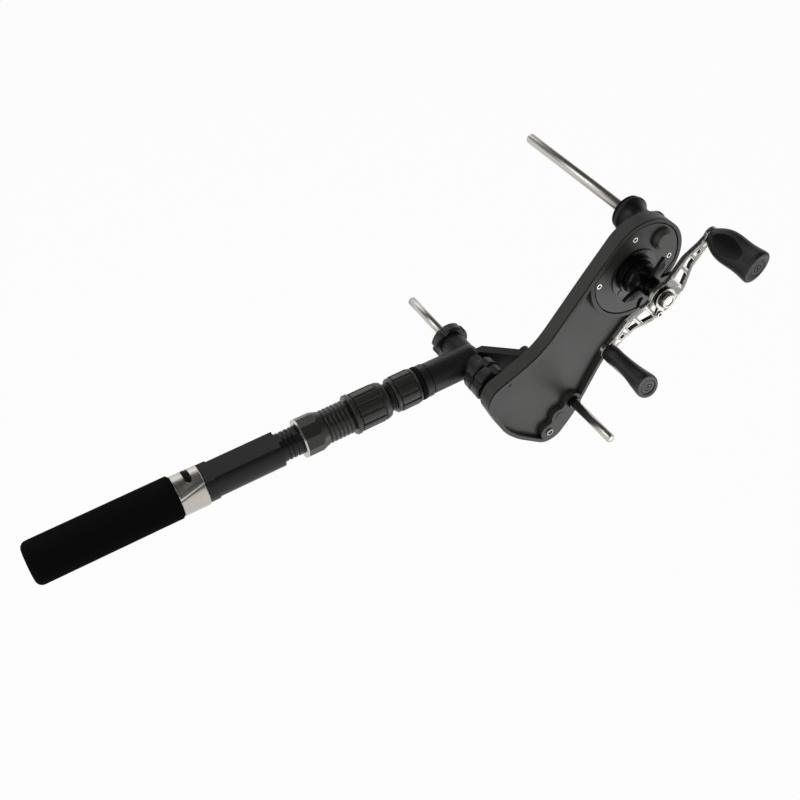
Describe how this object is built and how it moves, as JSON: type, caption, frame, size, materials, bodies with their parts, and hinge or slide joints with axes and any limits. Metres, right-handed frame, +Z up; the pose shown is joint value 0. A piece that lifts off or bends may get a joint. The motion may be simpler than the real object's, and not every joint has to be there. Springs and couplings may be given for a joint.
{
  "type": "fishing line winder",
  "caption": "Hand-held line winder: foam-gripped handle with a reel seat and coupling nuts, a tee with a cross rod, and a tilting gear arm whose crank drives a spool spindle.",
  "frame": {"origin": "middle of the grip's butt end", "axes": "+X along the handle toward the tee, +Y along the spool spindle's free end, +Z up, square to both"},
  "size_m": [0.4384, 0.2011, 0.1501],
  "materials": {
    "foam": "matte closed-cell foam",
    "seat_black": "fine satin",
    "nut_grey": "semi-gloss",
    "housing": "satin charcoal",
    "cover_grey": "satin charcoal",
    "silver": "satin anodised",
    "tube_alloy": "plain",
    "steel": "drawn and polished",
    "screw_steel": "bright",
    "polished_alloy": "polished",
    "dark_alloy": "black anodised",
    "bronze": "sintered",
    "bearing_steel": "ground",
    "gear_nylon": "moulded",
    "rubber": "matte",
    "knob_black": "satin"
  },
  "bodies": {
    "handle": {"foam_grip": "foam", "butt_plug": "seat_black", "handle_tube": "tube_alloy", "seat_sleeve": "silver", "hood_insert": "rubber", "seat_band": "seat_black", "seat_barrel": "seat_black", "threaded_adapter": "seat_black", "seal_ring": "rubber", "tee_frame": "seat_black", "rod_collet": "gear_nylon"},
    "hood": {"sliding_hood": "seat_black", "hood_lip": "silver"},
    "hood_nut": {"hood_ring_nut": "nut_grey"},
    "coupling": {"coupling_nut": "nut_grey"},
    "lock": {"lock_nut": "nut_grey"},
    "line_rod": {"cross_rod": "steel"},
    "rod_clamp": {"rod_clamp_knob": "knob_black"},
    "arm_clamp": {"arm_clamp_knob": "knob_black"},
    "arm": {"pivot_shaft": "steel", "arm_collar": "seat_black", "arm_shell": "housing", "gear_cover": "cover_grey", "cover_screws": "screw_steel", "lower_rod": "steel", "rod_sleeve": "dark_alloy", "boss_plug": "housing", "foot_screw": "screw_steel", "crank_boss_ring": "dark_alloy", "crank_bush_front": "bronze", "crank_bush_rear": "bronze", "spindle_cap": "cover_grey", "spindle_bearing_front": "bearing_steel", "spindle_bearing_rear": "bearing_steel"},
    "arm_lock": {"arm_lock_knob": "knob_black"},
    "crank": {"crank_gear": "gear_nylon", "crank_shaft": "steel", "drag_dome": "dark_alloy", "drag_washers": "dark_alloy", "crank_arm": "polished_alloy", "hub_nut": "polished_alloy", "nut_retainer": "polished_alloy", "retainer_screw": "screw_steel", "knob_shaft_1": "steel", "knob_shaft_2": "steel"},
    "spool_drive": {"spindle_pinion": "gear_nylon", "spindle": "steel", "drive_hub": "knob_black", "hub_set_screw": "screw_steel", "drive_pad": "rubber"},
    "star": {"star_wheel": "dark_alloy"},
    "knob_1": {"crank_knob_1": "knob_black", "knob_cap_1": "knob_black"},
    "knob_2": {"crank_knob_2": "knob_black", "knob_cap_2": "knob_black"}
  },
  "joints": [
    {"name": "hood_slide", "type": "slide", "parent": "handle", "child": "hood", "axis": [-1, 0, 0], "range_m": [0, 0.012]},
    {"name": "hood_nut_turn", "type": "hinge", "parent": "hood", "child": "hood_nut", "pos_m": [0.2, 0, 0], "axis": [1, 0, 0], "range_deg": [0, 1430]},
    {"name": "coupling_nut_turn", "type": "hinge", "parent": "handle", "child": "coupling", "pos_m": [0.223, 0, 0], "axis": [1, 0, 0], "range_deg": [0, 360]},
    {"name": "lock_nut_turn", "type": "hinge", "parent": "handle", "child": "lock", "pos_m": [0.249, 0, 0], "axis": [1, 0, 0], "range_deg": [0, 360]},
    {"name": "line_rod_slide", "type": "slide", "parent": "handle", "child": "line_rod", "axis": [0, 1, 0], "range_m": [0, 0.012]},
    {"name": "rod_clamp_turn", "type": "hinge", "parent": "handle", "child": "rod_clamp", "pos_m": [0.2984, 0.023, 0], "axis": [0, 1, 0], "range_deg": [0, 180]},
    {"name": "arm_clamp_turn", "type": "hinge", "parent": "handle", "child": "arm_clamp", "pos_m": [0.2984, -0.017, 0], "axis": [0, -1, 0], "range_deg": [0, 180]},
    {"name": "arm_tilt", "type": "hinge", "parent": "handle", "child": "arm", "pos_m": [0.2984, -0.04, 0], "axis": [0, -1, 0], "range_deg": [-60, 90]},
    {"name": "arm_lock_turn", "type": "hinge", "parent": "arm", "child": "arm_lock", "pos_m": [0.2984, -0.026, 0], "axis": [0, -1, 0], "range_deg": [0, 180]},
    {"name": "crank_turn", "type": "hinge", "parent": "arm", "child": "crank", "pos_m": [0.3928, -0.06, 0.05834], "axis": [0, 1, 0], "continuous": true},
    {"name": "spool_turn", "type": "hinge", "parent": "arm", "child": "spool_drive", "pos_m": [0.41147, 0, 0.077], "axis": [0, 1, 0], "continuous": true},
    {"name": "star_turn", "type": "hinge", "parent": "crank", "child": "star", "pos_m": [0.3928, -0.062, 0.05834], "axis": [0, 1, 0], "range_deg": [0, 300]},
    {"name": "knob_1_spin", "type": "hinge", "parent": "crank", "child": "knob_1", "pos_m": [0.42942, -0.09, 0.0855], "axis": [0, 1, 0], "continuous": true},
    {"name": "knob_2_spin", "type": "hinge", "parent": "crank", "child": "knob_2", "pos_m": [0.35618, -0.09, 0.03117], "axis": [0, 1, 0], "continuous": true}
  ],
  "couplings": [
    {"joint": "hood_slide", "follows": "hood_nut_turn", "m_per_rad": 0.00047746},
    {"joint": "spool_turn", "follows": "crank_turn", "ratio": -2}
  ]
}
